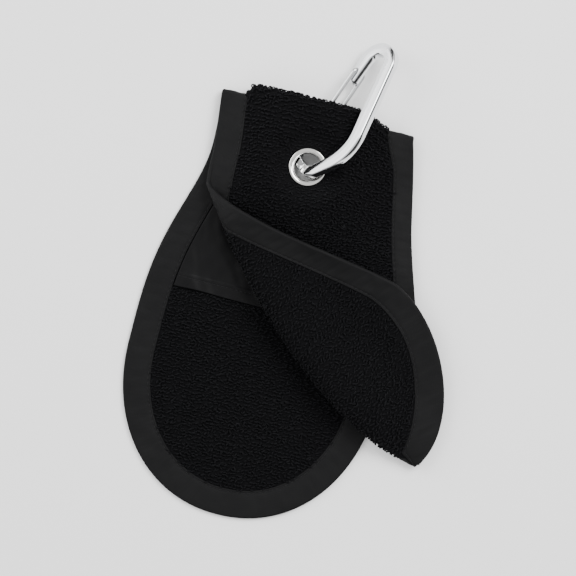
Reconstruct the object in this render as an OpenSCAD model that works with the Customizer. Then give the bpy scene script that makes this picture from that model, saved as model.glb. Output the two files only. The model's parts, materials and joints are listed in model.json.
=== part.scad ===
// Golf towel: one hourglass of terry cloth folded at its waist into two leaves, bound with tape,
// with an eyelet through the folded neck and a wire-gate clip through the eyelet.
// The upper leaf's lower half is turned up and over to the right.
// Frame: X across the towel, Y along it towards the fold, Z up from the surface it lies on.
// The origin is on that surface, at the middle of the lower leaf's round end.

/* [Towel] */
// Half of a leaf's greatest width
leaf_half_w = 69.5; // [68:0.5:71]
// Half of the width at the waist
waist_half_w = 51.5; // [50:0.5:53]
// How far the round end reaches below its widest line
round_end = 80; // [78:1:82]
// Thickness of the terry, pile included
terry_t = 3; // [2.8:0.1:3.2]
// Width of the edge tape on each face
tape_w = 15; // [13:0.5:16]
// Thickness of the edge where the tape is folded round it
tape_t = 2.4; // [2:0.1:2.6]
// Height of the neck's arch over the clip's gate
neck_rise = 12; // [11:0.5:13]
// Radius of the soft roll where the upper leaf turns over
roll_r = 6.5; // [5:0.5:7]

/* [Lining] */
// Thickness of the smooth lining panel
lining_t = 0.3; // [0.3:0.1:0.4]
// Where the lining's hemmed lower edge lies along Y
lining_end_y = 48; // [44:1:52]

/* [Eyelet] */
// Radius of the eyelet's hole
eyelet_r = 7.2; // [7:0.1:7.4]
// Radius of the eyelet's flange
flange_r = 10.25; // [10:0.05:10.5]

/* [Clip] */
// Width of the clip's bar in the clip's plane
bar_w = 7; // [6:0.5:7]
// Thickness of the clip's bar across that plane
bar_t = 5; // [4.8:0.1:5]
// Diameter of the gate's wire
wire_d = 2.4; // [2:0.1:2.5]
// How far the clip's plane is tilted out of the level
clip_tilt = 45; // [44:1:46]
// How far the gate points to the right of Y
clip_turn = 20; // [19:1:21]

/* [Hidden] */

// Lengthwise places on the lower leaf
widest_y = 13;
waist_y = 128;
tape_fold_y = 154.3;
terry_crest = 5.9;
waist_spread = 1.9;

// Places and clearances in the folded stack
leaf_gap = terry_t + 1.1;
flap_gap = terry_t + 0.6;
seam_r = 0.15;
outer_proud = 0.19;
inner_proud = 0.4;
tight_room = 0.4;
seam_share = 0.92;
edge_play = 0.5;

// The eyelet and the pinched disc of cloth that it clamps
eyelet_c = [1.5, 126.7, 12.6];
pinch_gap = 2.1;
pinch_share = 0.45;
clamped_r = 12.5;
free_r = 23;
tube_wall = 0.7;
flange_t = 0.9;
flange_play = 0.06;
lip_w = 1.9;
lip_t = 0.55;
curl_r = 0.5;
cloth_half = pinch_gap / 2 + pinch_share * terry_t / 2 + flange_play;

// The turned-over part of the upper leaf: its edge, its fold and the edge hidden below it
flip_start = [-48.7, 106.3];
flip_tip = [98.4, -14.6];
ridge_mid = [61.5, 78];
right_start = [64.2, 108];
ridge_a = [flip_start, [-27, 88], [30, 86], ridge_mid];
ridge_b = [ridge_mid, [92, 67], [118, 14], flip_tip];
crease = [flip_start, [-15, 55], [46, -6], flip_tip];
under_edge = [right_start, [72, 76], [93, 30], flip_tip];
neck_share = 0.22;
terry_end = 0.925;
terry_cols = 22;

// The clip's centre line, as corners that are rounded, in its own plane
clip_pass = 11.2;
clip_path = [
    [3.2, 13.5, 0], [2.2, 38.5, 8.5], [18.4, 37.2, 8.5], [32.4, -20.6, 24],
    [14.6, -40.4, 7.4], [-0.6, -35.7, 3.4], [-0.3, -25, 0]
];
tongue_share = 0.62;
tongue_len = 22;
nose_share = 0.62;
nose_len = 42;
nose_thin = 0.9;
end_r = 1.6;
hinge_at = [3.2, 21];
loop_at = [2.4, -22.3];
leg_h = bar_t / 2 + wire_d / 2 + 0.35;
bend_r = 1.6;
pin_play = 0.08;

// ---- Shared curves ----
function clamp01(t) = min(1, max(0, t));
function smooth(t) = let (c = clamp01(t)) c * c * (3 - 2 * c);
function mix(a, b, t) = a + (b - a) * t;
function plan(p) = [p.x, p.y];
function unit(v) = v / max(norm(v), 1e-6);
function bezier(p, t) =
    pow(1 - t, 3) * p[0] + 3 * t * pow(1 - t, 2) * p[1] + 3 * t * t * (1 - t) * p[2] + pow(t, 3) * p[3];

// Half-width of a leaf at y: a full curve round the end, then a slow narrowing to the waist
function round_part(y, a, b) = a * pow(max(0, 1 - pow(abs(widest_y - y) / b, 2.1)), 1 / 2.1);
function narrowing(y) = 0.5 + 0.5 * cos(180 * pow(clamp01((y - widest_y) / (waist_y - widest_y)), 1.6));
function half_w(y) = y < widest_y ? round_part(y, leaf_half_w, round_end)
    : y < waist_y ? mix(waist_half_w, leaf_half_w, narrowing(y))
    : waist_half_w + waist_spread * pow((y - waist_y) / (tape_fold_y - waist_y), 2);
function inner_half_w(y) = y < widest_y ? round_part(y, leaf_half_w - tape_w, round_end - tape_w)
    : half_w(y) - tape_w;

// ---- Heights of the lying cloth ----
function from_eyelet(x, y) = norm([x, y] - plan(eyelet_c));
function loose(x, y) = smooth((from_eyelet(x, y) - clamped_r) / (free_r - clamped_r));
function arch(x, y) = neck_rise * smooth((y - 72) / 46) * (1 - smooth((abs(x + 1) - 14) / 38));
function gap(x, y) = mix(pinch_gap, leaf_gap, loose(x, y));
function stack_mid(x, y) =
    mix(eyelet_c.z, (terry_t + leaf_gap) / 2 + arch(x, y), loose(x, y));
function back_mid(x, y) = stack_mid(x, y) - gap(x, y) / 2;
function front_mid(x, y) = stack_mid(x, y) + gap(x, y) / 2
    - flap_gap * smooth((x - half_w(y) - 1) / 16);
function half_t(t, p) = t / 2 * mix(pinch_share, 1, loose(p.x, p.y));

// ---- The upper leaf: rows that run from its left edge to its right edge ----
// A row goes over the flap, round the roll at the crease and back below it
function left_neck(t) = [-53.3 + 4.6 * pow(t, 2.2) + 1.6 * sin(180 * t), mix(tape_fold_y, flip_start.y, t)];
function right_neck(t) = [mix(53.4, right_start.x, pow(t, 0.9)), mix(tape_fold_y, right_start.y, t)];
function ridge(k) = k < 0.5 ? bezier(ridge_a, 2 * k) : bezier(ridge_b, 2 * k - 1);
function roll_at(k) = k < 0.7 ? mix(2.2, roll_r, smooth(k / 0.3))
    : mix(roll_r, 2.1, smooth((k - 0.7) / 0.28));
function lift_at(k) = 5 * smooth(k / 0.15) * (1 - smooth((k - 0.55) / 0.4));
function row_frame(v) = v < neck_share
    ? let (t = v / neck_share)
        [left_neck(t), left_neck(t), right_neck(t), mix(0.05, 2.2, smooth((t - 0.5) / 0.5)), 0]
    : let (k = (v - neck_share) / (1 - neck_share))
        [ridge(k), bezier(crease, k), bezier(under_edge, k), roll_at(k), lift_at(k)];
// Cloth length that covers a plan distance d from the crease, and the reverse
function cloth_of(d, r) = d < r ? r * acos(1 - d / r) * PI / 180 : d + (PI / 2 - 1) * r;
function plan_of(q, r) = q < PI * r / 2 ? r * (1 - cos(q / r * 180 / PI)) : q - (PI / 2 - 1) * r;
function turned(q, r) = q < PI * r / 2 ? sin(q / r * 180 / PI) : 1;
function top_len(f) = cloth_of(norm(f[0] - f[1]), f[3]);
function under_len(f) = cloth_of(norm(f[2] - f[1]), f[3]);
function row_len(f) = top_len(f) + under_len(f);
function leaf_point(f, s) =
    let (q = s - top_len(f), r = f[3])
    q < 0
        ? let (d = plan_of(-q, r), p = f[1] + unit(f[0] - f[1]) * d,
               rest = mix(r * (1 + turned(-q, r)), flap_gap, smooth((d - r) / 34)),
               edge_lift = f[4] * pow(clamp01(1 - s / 30), 2))
            [p.x, p.y, front_mid(p.x, p.y) + rest + edge_lift]
        : let (d = plan_of(q, r), p = f[1] + unit(f[2] - f[1]) * d)
            [p.x, p.y, front_mid(p.x, p.y) + r * (1 - turned(q, r))];
// Widths of tape at the two ends of a row, where the row meets the edge at a slant or is short
function flap_share(v) = (v - neck_share) / (1 - neck_share);
function slant(v) = 1 + 0.35 * smooth((flap_share(v) - 0.6) / 0.35);
function tucked(v) = 1 - 0.25 * smooth(v / 0.1) * (1 - smooth((v - neck_share) / 0.1));
function left_tape(v, f) = min(tape_w * slant(v), row_len(f) / 2 - 0.1);
function right_tape(v, f) = min(tape_w * tucked(v), row_len(f) / 2 - 0.1);

// Room between the terry and the tape, wider round the tight start of the roll
function left_play(v) = edge_play + 0.8 * smooth((v - neck_share) / 0.03) * (1 - smooth((v - 0.45) / 0.1));

// The terry stands further out than the tape where both go over the fold
function crest(x) = terry_crest - 5 * smooth((x - 23) / 15);
function stretched(p) = let (a = smooth((p.y - 138) / (tape_fold_y - 138)) * crest(p.x)) [p.x, p.y + a, p.z];

// ---- Grids of middle points ----
function steps(a, b, n) = [for (i = [0:n]) mix(a, b, i / n)];
function back_point(x, y) = [x, y, back_mid(x, y)];
function fold_point(x, y, a) = let (r = gap(x, y) / 2) [x, y + r * cos(a), stack_mid(x, y) + r * sin(a)];

function terry_half_w(y) = inner_half_w(y) - edge_play;
neck_ys = steps(100, 150, 15);
lining_ys = concat(steps(lining_end_y, 95, 8), neck_ys);
terry_ys = concat([-51.3, -50.3, -48], steps(-44, 95, 22), neck_ys, [tape_fold_y]);
function terry_back() = [for (y = terry_ys)
    [for (x = steps(-terry_half_w(y), terry_half_w(y), terry_cols)) stretched(back_point(x, y))]];
function terry_fold() = [for (a = [-60:30:60])
    [for (x = steps(-terry_half_w(tape_fold_y), terry_half_w(tape_fold_y), terry_cols))
        let (y = tape_fold_y + crest(x)) fold_point(x, y, a)]];
leaf_vs = concat(steps(0, neck_share, 13), steps(0.23, 0.35, 13), steps(0.37, terry_end, 28));
function terry_front() = [for (v = leaf_vs)
    let (f = row_frame(v), a = left_tape(v, f) + left_play(v), b = row_len(f) - right_tape(v, f) - edge_play)
    [for (s = steps(a, b, terry_cols)) stretched(leaf_point(f, s))]];

// The tape starts and ends at the flap's tip; every row runs inwards from the cut edge
tape_us = steps(0, 1, 5);
fold_angles = [60, 30, 0, -30, -60];
tape_vs = concat(leaf_vs, [0.945, 0.965, 0.985]);
function tape_left() = [for (i = [len(tape_vs) - 1:-1:0])
    let (v = tape_vs[i])
    let (f = row_frame(v)) [for (u = tape_us) leaf_point(f, u * left_tape(v, f))]];
function tape_right() = [for (v = tape_vs)
    let (f = row_frame(v)) [for (u = tape_us) leaf_point(f, row_len(f) - u * right_tape(v, f))]];
function tape_fold(side, a) = [for (u = tape_us)
    fold_point(side * (half_w(tape_fold_y) - tape_w * u), tape_fold_y, a)];
// The two ends of a row on the lower leaf: at an angle round its end, or at y along its side
function round_ends(turn) =
    let (y = widest_y - round_end * cos(turn), yi = widest_y - (round_end - tape_w) * cos(turn))
    [[half_w(y), y], [inner_half_w(yi), yi]];
function side_ends(y) = [[half_w(y), y], [inner_half_w(y), y]];
function tape_row(side, ends) = [for (u = tape_us)
    let (p = mix(ends[0], ends[1], u)) back_point(side * p.x, p.y)];
side_ys = steps(widest_y + 4, tape_fold_y, 22);
function tape_back() = concat(
    [for (i = [len(side_ys) - 1:-1:0]) tape_row(-1, side_ends(side_ys[i]))],
    [for (turn = steps(90, 4, 17)) tape_row(-1, round_ends(turn))],
    [for (turn = steps(0, 90, 18)) tape_row(1, round_ends(turn))],
    [for (y = side_ys) tape_row(1, side_ends(y))]);
function tape_grid() = concat(
    tape_left(), [for (a = fold_angles) tape_fold(-1, a)], tape_back(),
    [for (a = fold_angles) tape_fold(1, -a)], tape_right());

// ---- Solids from grids ----
// Unit normal of a grid at row i and column j, from its neighbours
function grid_normal(g, i, j) =
    let (u = g[min(i + 1, len(g) - 1)][j] - g[max(i - 1, 0)][j],
         w = g[i][min(j + 1, len(g[0]) - 1)] - g[i][max(j - 1, 0)])
    unit(cross(w, u));

// A closed solid: the grid's points moved half a thickness to each side, with walls round the rim
module cloth(grid, t) {
    rows = len(grid);
    cols = len(grid[0]);
    all = rows * cols;
    upper = [for (i = [0:rows - 1]) for (j = [0:cols - 1])
        grid[i][j] + grid_normal(grid, i, j) * half_t(t, grid[i][j])];
    lower = [for (i = [0:rows - 1]) for (j = [0:cols - 1])
        grid[i][j] - grid_normal(grid, i, j) * half_t(t, grid[i][j])];
    rim = concat(
        [for (j = [0:cols - 2]) j], [for (i = [0:rows - 2]) i * cols + cols - 1],
        [for (j = [cols - 1:-1:1]) (rows - 1) * cols + j], [for (i = [rows - 1:-1:1]) i * cols]);
    faces = concat(
        [for (i = [0:rows - 2]) for (j = [0:cols - 2]) let (a = i * cols + j) each
            [[a, a + cols, a + 1], [a + 1, a + cols, a + cols + 1]]],
        [for (i = [0:rows - 2]) for (j = [0:cols - 2]) let (a = all + i * cols + j) each
            [[a, a + 1, a + cols], [a + 1, a + cols + 1, a + cols]]],
        [for (i = [0:len(rim) - 1]) let (a = rim[i], b = rim[(i + 1) % len(rim)]) each
            [[a, b, a + all], [b, b + all, a + all]]]);
    polyhedron(points = concat(upper, lower), faces = faces);
}

// A closed bar swept along a path: size_at gives each ring's half-width, half-height and roundness
module swept(path, side, sizes, power, count) {
    last = len(path) - 1;
    function along(i) = unit(path[min(i + 1, last)] - path[max(i - 1, 0)]);
    function blunt(t) = sign(t) * pow(abs(t), power);
    function ring(i) = let (t = along(i), a = unit(side[i] - t * (side[i] * t)), b = cross(t, a))
        [for (j = [0:count - 1]) let (turn = 360 * (j + 0.5) / count)
            path[i] + a * sizes[i][0] * blunt(cos(turn)) + b * sizes[i][1] * blunt(sin(turn))];
    faces = concat(
        [[for (j = [count - 1:-1:0]) j]],
        [for (i = [0:last - 1]) for (j = [0:count - 1])
            let (a = i * count + j, b = i * count + (j + 1) % count) each
            [[a, b, a + count], [b, b + count, a + count]]],
        [[for (j = [0:count - 1]) last * count + j]]);
    polyhedron(
        points = [for (i = [0:last]) each ring(i)],
        faces = [for (f = faces) [for (k = [len(f) - 1:-1:0]) f[k]]]);
}

// ---- The towel's pieces ----
module eyelet_hole() {
    translate([eyelet_c.x, eyelet_c.y, 0]) cylinder(r = eyelet_r + tube_wall + 0.05, h = 40, $fn = 48);
}

module terry_panel() {
    color([0.09, 0.09, 0.1]) difference() {
        cloth(concat(terry_back(), terry_fold(), terry_front()), terry_t);
        eyelet_hole();
    }
}

module edge_binding() {
    color([0.05, 0.05, 0.06]) cloth(tape_grid(), tape_t);
}

// One line of stitching, near the tape's inner edge and just clear of one face of it
module seam(face, proud) {
    grid = tape_grid();
    last = len(tape_us) - 1;
    // More room on the inner face at the flap's tip and where its roll is tight
    function room(p) = face > 0 ? 0 : tight_room * max(
        smooth((p.x - 80) / 4) * smooth((-4 - p.y) / 4),
        smooth((-24 - p.x) / 4) * smooth((97 - p.y) / 4));
    function face_point(i, j) = let (p = grid[i][j])
        p + face * (half_t(tape_t, p) + proud + room(p)) * grid_normal(grid, i, j);
    share = 1 - (1 - seam_share) * last;
    at = [for (i = [0:len(grid) - 1]) mix(face_point(i, last - 1), face_point(i, last), share)];
    up = [for (i = [0:len(grid) - 1]) face * grid_normal(grid, i, last)];
    swept(at, up, [for (p = at) [seam_r, seam_r]], 1, 4);
}

module binding_seam_inner() {
    color([0.12, 0.12, 0.13]) seam(-1, inner_proud);
}

module binding_seam_outer() {
    color([0.12, 0.12, 0.13]) seam(1, outer_proud);
}

module lining_panel() {
    color([0.07, 0.07, 0.08]) difference() {
        cloth([for (y = lining_ys) [for (x = steps(-terry_half_w(y), terry_half_w(y), terry_cols))
            stretched([x, y, stack_mid(x, y)])]], lining_t);
        eyelet_hole();
    }
}

// ---- The eyelet ----
module eyelet_barrel() {
    top = cloth_half;
    foot = -top - flange_t - lip_t - 0.05;
    color("silver") translate(eyelet_c) rotate_extrude($fn = 96) difference() {
        union() {
            translate([eyelet_r, foot]) square([tube_wall, top + flange_t - foot]);
            translate([eyelet_r, top]) square([flange_r - eyelet_r - flange_t / 2, flange_t]);
            translate([flange_r - flange_t / 2, top + flange_t / 2]) circle(d = flange_t, $fn = 32);
            translate([eyelet_r, foot]) square([lip_w, lip_t]);
        }
        translate([eyelet_r, top + flange_t]) circle(r = curl_r, $fn = 32);
        translate([eyelet_r, foot]) circle(r = curl_r, $fn = 32);
    }
}

module eyelet_washer() {
    color("silver") translate([eyelet_c.x, eyelet_c.y, eyelet_c.z - cloth_half - flange_t]) difference() {
        cylinder(r = flange_r, h = flange_t, $fn = 96);
        translate([0, 0, -1]) cylinder(r = eyelet_r + tube_wall + 0.1, h = flange_t + 2, $fn = 96);
    }
}

// ---- The clip, in its own plane: X towards the spine, Y towards the hinge, Z across the bar ----
clip_dir = [sin(clip_turn), cos(clip_turn)];
spine_dir = [cos(clip_turn), -sin(clip_turn)] * cos(clip_tilt);
pass_y = -37.4;
clip_origin = concat(
    plan(eyelet_c) - pass_y * clip_dir - clip_pass * spine_dir, [eyelet_c.z - clip_pass * sin(clip_tilt)]);

module place_clip() {
    translate(clip_origin) rotate([0, -clip_tilt, -clip_turn]) children();
}

// A corner of the path, rounded with its own radius: points along the arc
function corner(a, b, c, r) =
    let (u = unit(a - b), v = unit(c - b), half = acos(u * v) / 2, d = r / tan(half),
         m = b + unit(u + v) * r / sin(half), p = b + u * d - m, q = b + v * d - m,
         full = 180 - 2 * half, n = max(3, ceil(full / 9)))
    [for (i = [0:n]) m + (p * sin(full * (1 - i / n)) + q * sin(full * i / n)) / sin(full)];
function rounded(path) = concat([plan(path[0])],
    [for (i = [1:len(path) - 2]) each corner(plan(path[i - 1]), plan(path[i]), plan(path[i + 1]), path[i].z)],
    [plan(path[len(path) - 1])]);
function lengths(p, i = 1, sum = [0]) =
    i >= len(p) ? sum : lengths(p, i + 1, concat(sum, [sum[i - 1] + norm(p[i] - p[i - 1])]));
// Extra points along straight runs, so that the bar's taper has rings to follow
function dense(p, step) = concat([for (i = [0:len(p) - 2])
    let (n = max(1, ceil(norm(p[i + 1] - p[i]) / step)))
    each [for (j = [0:n - 1]) mix(p[i], p[i + 1], j / n)]],
    [p[len(p) - 1]]);

clip_line = dense(rounded(clip_path), 3);
clip_len = lengths(clip_line);
function end_round(d, w) = d >= w ? 1 : sqrt(max(0.12, 1 - pow(1 - d / w, 2)));
function bar_size(d, total) =
    let (to_tongue = smooth(d / tongue_len), to_nose = smooth((total - d) / nose_len),
         taper = mix(tongue_share, 1, to_tongue) * mix(nose_share, 1, to_nose),
         cap = min(end_round(d, end_r), end_round(total - d, end_r)))
    [bar_w / 2 * taper * cap, bar_t / 2 * mix(nose_thin, 1, to_nose) * cap];

module clip_body() {
    total = clip_len[len(clip_len) - 1];
    color("silver") place_clip() difference() {
        swept([for (p = clip_line) [p.x, p.y, 0]],
            [for (i = [0:len(clip_line) - 1])
                let (t = clip_line[min(i + 1, len(clip_line) - 1)] - clip_line[max(i - 1, 0)])
                [t.y, -t.x, 0]],
            [for (d = clip_len) bar_size(d, total)], 0.6, 12);
        translate([hinge_at.x, hinge_at.y, -bar_t])
            cylinder(d = wire_d + 2 * pin_play, h = 2 * bar_t, $fn = 32);
    }
}

// One leg of the wire, from its pin in the hinge to the middle of the loop at the nose
function leg(side) =
    let (run = unit(loop_at - hinge_at), loop_r = leg_h,
         a = concat(hinge_at, [side * 0.4]), b = concat(hinge_at, [side * (leg_h - bend_r)]),
         start = hinge_at + run * bend_r, stop = loop_at - run * loop_r)
    concat([a, b],
        [for (i = [30:30:60])
            concat(hinge_at + run * bend_r * (1 - cos(i)), [side * (leg_h - bend_r + bend_r * sin(i))])],
        [for (i = [0:6]) concat(mix(start, stop, i / 6), [side * leg_h])],
        [for (i = [15:15:75]) concat(stop + run * loop_r * sin(i), [side * leg_h * cos(i)])]);

module clip_gate() {
    near = leg(1);
    far = leg(-1);
    path = concat(near, [concat(loop_at, [0])], [for (i = [len(far) - 1:-1:0]) far[i]]);
    color([0.72, 0.72, 0.74]) place_clip()
        swept(path, [for (p = path) [1, 0.03, 0]], [for (p = path) [wire_d / 2, wire_d / 2]], 1, 10);
}

terry_panel();
edge_binding();
binding_seam_inner();
binding_seam_outer();
lining_panel();
eyelet_barrel();
eyelet_washer();
clip_body();
clip_gate();
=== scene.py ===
"""A golf towel: folded terry with bound edges, a lining, an eyelet and a wire-gate clip.

Lengths in the classes are millimetres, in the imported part's frame: X across the towel, Y along it
towards its fold, Z up from the surface it lies on. Meshes are written in metres.
"""

import json
import logging
import math
from dataclasses import dataclass, field
from enum import Enum
from typing import Callable, Optional

import bpy
import numpy as np
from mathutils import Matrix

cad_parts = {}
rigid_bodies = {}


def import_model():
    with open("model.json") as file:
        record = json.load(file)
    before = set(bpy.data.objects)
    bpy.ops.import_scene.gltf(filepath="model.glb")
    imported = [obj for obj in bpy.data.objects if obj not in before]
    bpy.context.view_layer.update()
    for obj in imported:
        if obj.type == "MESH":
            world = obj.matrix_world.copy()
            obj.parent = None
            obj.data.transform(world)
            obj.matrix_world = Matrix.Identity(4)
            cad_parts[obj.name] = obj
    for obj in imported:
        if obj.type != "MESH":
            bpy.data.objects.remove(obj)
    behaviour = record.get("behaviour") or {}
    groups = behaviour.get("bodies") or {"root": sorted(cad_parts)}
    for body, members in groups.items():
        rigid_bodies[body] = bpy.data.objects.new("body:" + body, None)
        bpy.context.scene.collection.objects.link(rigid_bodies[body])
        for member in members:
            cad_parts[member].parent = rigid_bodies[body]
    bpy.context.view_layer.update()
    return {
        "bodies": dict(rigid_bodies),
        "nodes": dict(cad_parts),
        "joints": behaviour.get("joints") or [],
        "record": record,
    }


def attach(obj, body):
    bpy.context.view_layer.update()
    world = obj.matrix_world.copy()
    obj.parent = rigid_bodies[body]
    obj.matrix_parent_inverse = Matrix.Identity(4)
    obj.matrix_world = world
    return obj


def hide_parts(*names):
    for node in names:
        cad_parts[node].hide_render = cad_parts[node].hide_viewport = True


MM = 0.001
LOG = logging.getLogger("golf_towel")
Array = np.ndarray


# --------------------------------------------------------------------------------------------
# Small shared functions
# --------------------------------------------------------------------------------------------


def smooth(t: Array) -> Array:
    """The smooth step 3t^2 - 2t^3, held at 0 below t = 0 and at 1 above t = 1."""
    c = np.clip(t, 0.0, 1.0)
    return c * c * (3.0 - 2.0 * c)


def mix(a, b, t):
    """The value t of the way from a to b."""
    return a + (b - a) * t


def unit(v: Array) -> Array:
    """Each vector along the last axis, scaled to length one."""
    return v / np.maximum(np.linalg.norm(v, axis=-1, keepdims=True), 1e-9)


def bezier(points: Array, t: Array) -> Array:
    """Points at t along the cubic Bezier curve of four control points."""
    u = t[:, None]
    p0, p1, p2, p3 = np.asarray(points, float)
    return (1 - u) ** 3 * p0 + 3 * u * (1 - u) ** 2 * p1 + 3 * u * u * (1 - u) * p2 + u**3 * p3


def waves(points: Array, wavelength: float, seed: int, count: int = 7) -> Array:
    """A smooth, seeded unevenness: the mean of a few sine waves in chance directions.

    Args:
        points: Places, with two or three numbers along the last axis.
        wavelength: Their typical wavelength, in the same unit.
        seed: Picks the directions and phases.
        count: How many waves are added.

    Returns:
        Values of about -1 to 1, one for each point.
    """
    rng = np.random.default_rng(seed)
    heading = unit(rng.normal(size=(count, points.shape[-1])))
    pace = 2 * math.pi / (wavelength * rng.uniform(0.7, 1.5, count))
    phase = rng.uniform(0, 2 * math.pi, count)
    total = sum(np.sin(points @ heading[i] * pace[i] + phase[i]) for i in range(count))
    return total / math.sqrt(count)


def grid_normals(grid: Array) -> Array:
    """Unit normals of a grid of points: the cross product of its column and row directions."""
    return unit(np.cross(np.gradient(grid, axis=1), np.gradient(grid, axis=0)))


def linear(hex_colour: str) -> tuple[float, float, float, float]:
    """An sRGB hex colour as the linear RGBA that Blender's sockets take."""
    srgb = np.array([int(hex_colour[i : i + 2], 16) / 255 for i in (1, 3, 5)])
    value = np.where(srgb <= 0.04045, srgb / 12.92, ((srgb + 0.055) / 1.055) ** 2.4)
    return (float(value[0]), float(value[1]), float(value[2]), 1.0)


def new_piece(name: str, vertices: Array, faces: Array, flat: bool = False) -> bpy.types.Object:
    """Makes a mesh object at the origin, with its place in its vertices.

    Args:
        name: The piece's name.
        vertices: Points in millimetres, one row each.
        faces: Four vertex numbers a row. A row whose last two are equal is a triangle.
        flat: Whether its faces are shaded flat.

    Returns:
        The new object, linked to the scene.
    """
    mesh = bpy.data.meshes.new(name)
    if faces.ndim == 2 and faces.shape[1] == 4 and not (faces[:, 3] == faces[:, 2]).any():
        mesh.vertices.add(len(vertices))
        mesh.vertices.foreach_set("co", (vertices * MM).astype(np.float32).ravel())
        mesh.loops.add(faces.size)
        mesh.loops.foreach_set("vertex_index", faces.astype(np.int32).ravel())
        mesh.polygons.add(len(faces))
        mesh.polygons.foreach_set("loop_start", np.arange(0, faces.size, 4, dtype=np.int32))
    else:
        rows = [f[:3] if f[3] == f[2] else f for f in faces.tolist()]
        mesh.from_pydata((vertices * MM).tolist(), [], rows)
    mesh.update(calc_edges=True)
    mesh.validate()
    mesh.polygons.foreach_set("use_smooth", np.full(len(mesh.polygons), not flat))
    piece = bpy.data.objects.new(name, mesh)
    bpy.context.scene.collection.objects.link(piece)
    return piece


def put_uv(piece: bpy.types.Object, uv: Array) -> None:
    """Gives a piece a UV map in millimetres of cloth, from one pair for each vertex."""
    mesh = piece.data
    corner = np.zeros(len(mesh.loops), np.int32)
    mesh.loops.foreach_get("vertex_index", corner)
    layer = mesh.uv_layers.new(name="cloth_mm")
    layer.data.foreach_set("uv", uv[corner].astype(np.float32).ravel())


def put_value(piece: bpy.types.Object, name: str, values: Array) -> None:
    """Gives a piece a named number at each vertex, for its material to read."""
    attribute = piece.data.attributes.new(name, "FLOAT", "POINT")
    attribute.data.foreach_set("value", values.astype(np.float32).ravel())


def grid_solid(mid: Array, half: Array, keep: Array) -> tuple[Array, Array]:
    """A closed solid from a grid of middle points: each goes half a thickness to both sides.

    Edges that only one kept cell uses get a wall, so the outline and any hole are closed.

    Args:
        mid: Middle points, rows by columns by three.
        half: Half of the thickness at each point.
        keep: Which of the grid's cells are cloth.

    Returns:
        Vertices and four-cornered faces that point outwards.
    """
    rows, cols = mid.shape[:2]
    normal = grid_normals(mid) * half[..., None]
    vertices = np.concatenate([(mid + normal).reshape(-1, 3), (mid - normal).reshape(-1, 3)])
    index = np.arange(rows * cols).reshape(rows, cols)
    cells = np.stack([index[:-1, :-1], index[:-1, 1:], index[1:, 1:], index[1:, :-1]], -1)
    top = cells[keep]
    edges = np.concatenate([top[:, [i, (i + 1) % 4]] for i in range(4)])
    code = edges[:, 0] * rows * cols + edges[:, 1]
    back = edges[:, 1] * rows * cols + edges[:, 0]
    rim = edges[~np.isin(code, back)]
    total = rows * cols
    walls = np.stack([rim[:, 1], rim[:, 0], rim[:, 0] + total, rim[:, 1] + total], -1)
    faces = np.concatenate([top, top[:, ::-1] + total, walls])
    used = np.unique(faces)
    number = np.full(len(vertices), -1)
    number[used] = np.arange(len(used))
    return vertices[used], number[faces]


def tube_faces(rings: int, sides: int, closed: bool = False) -> Array:
    """Faces of a tube of rings of vertices, left open at its ends unless it closes on itself."""
    ring = np.arange(rings if closed else rings - 1)[:, None]
    side = np.arange(sides)[None, :]
    after, turn = (ring + 1) % rings, (side + 1) % sides
    corners = [ring * sides + side, ring * sides + turn, after * sides + turn, after * sides + side]
    wide = [np.broadcast_to(corner, (len(ring), sides)) for corner in corners]
    return np.stack(wide, -1).reshape(-1, 4)


def end_fans(rings: int, sides: int, first_centre: int) -> Array:
    """Triangles that close a tube's two ends on two centre vertices, as rows of four numbers."""
    a = np.arange(sides)
    b = (a + 1) % sides
    start = np.stack([b, a, np.full(sides, first_centre)], -1)
    base = (rings - 1) * sides
    stop = np.stack([base + a, base + b, np.full(sides, first_centre + 1)], -1)
    fans = np.concatenate([start, stop])
    return np.concatenate([fans, fans[:, 2:]], -1)


def bar_faces(rings: int, sides: int) -> Array:
    """Faces of a closed bar: its tube, and fans to the two centre vertices after its rings."""
    return np.concatenate([tube_faces(rings, sides), end_fans(rings, sides, rings * sides)])


def swept(path: Array, across: Array, section: Array) -> tuple[Array, Array]:
    """A closed bar: a section carried along a path.

    Args:
        path: Centres of its rings.
        across: The direction of the section's first number, for each ring.
        section: For each ring, pairs (along across, along the third direction).

    Returns:
        Vertices and faces, with its ends closed on a centre vertex.
    """
    along = unit(np.gradient(path, axis=0))
    first = unit(across - along * np.sum(along * across, -1, keepdims=True))
    second = np.cross(along, first)
    ring = path[:, None] + first[:, None] * section[..., :1] + second[:, None] * section[..., 1:]
    vertices = np.concatenate([ring.reshape(-1, 3), path[[0, -1]]])
    return vertices, bar_faces(*section.shape[:2])


def copies(template: Array, faces: Array, origin: Array, axes: Array) -> tuple[Array, Array]:
    """Sets one small shape at many places.

    Args:
        template: The shape's vertices.
        faces: Its faces.
        origin: Where each copy goes.
        axes: Three directions for each copy, as the rows of a matrix.

    Returns:
        All copies' vertices and faces.
    """
    vertices = origin[:, None] + np.einsum("vk,nkj->nvj", template, axes)
    offset = np.arange(len(origin))[:, None, None] * len(template)
    return vertices.reshape(-1, 3), (faces[None] + offset).reshape(-1, faces.shape[1])


def stitches(path: Array, first: Array, second: Array, radius: Array) -> tuple[Array, Array]:
    """Separate lengths of thread, each a six-sided bar along its own path.

    Args:
        path: Centres, stitches by points along a stitch by three.
        first: A direction across the thread, for each point or for all.
        second: The other direction across it.
        radius: The thread's radius, for each point or for all.

    Returns:
        All stitches' vertices and faces.
    """
    sides = 6
    turn = np.radians(np.arange(sides) * 360 / sides)[:, None]
    across = first * np.cos(turn) + second * np.sin(turn)
    ring = path[:, :, None] + across * radius
    vertices = np.concatenate([ring.reshape(len(path), -1, 3), path[:, [0, -1]]], 1)
    offset = np.arange(len(path))[:, None, None] * vertices.shape[1]
    faces = (bar_faces(path.shape[1], sides)[None] + offset).reshape(-1, 4)
    return vertices.reshape(-1, 3), faces


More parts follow.
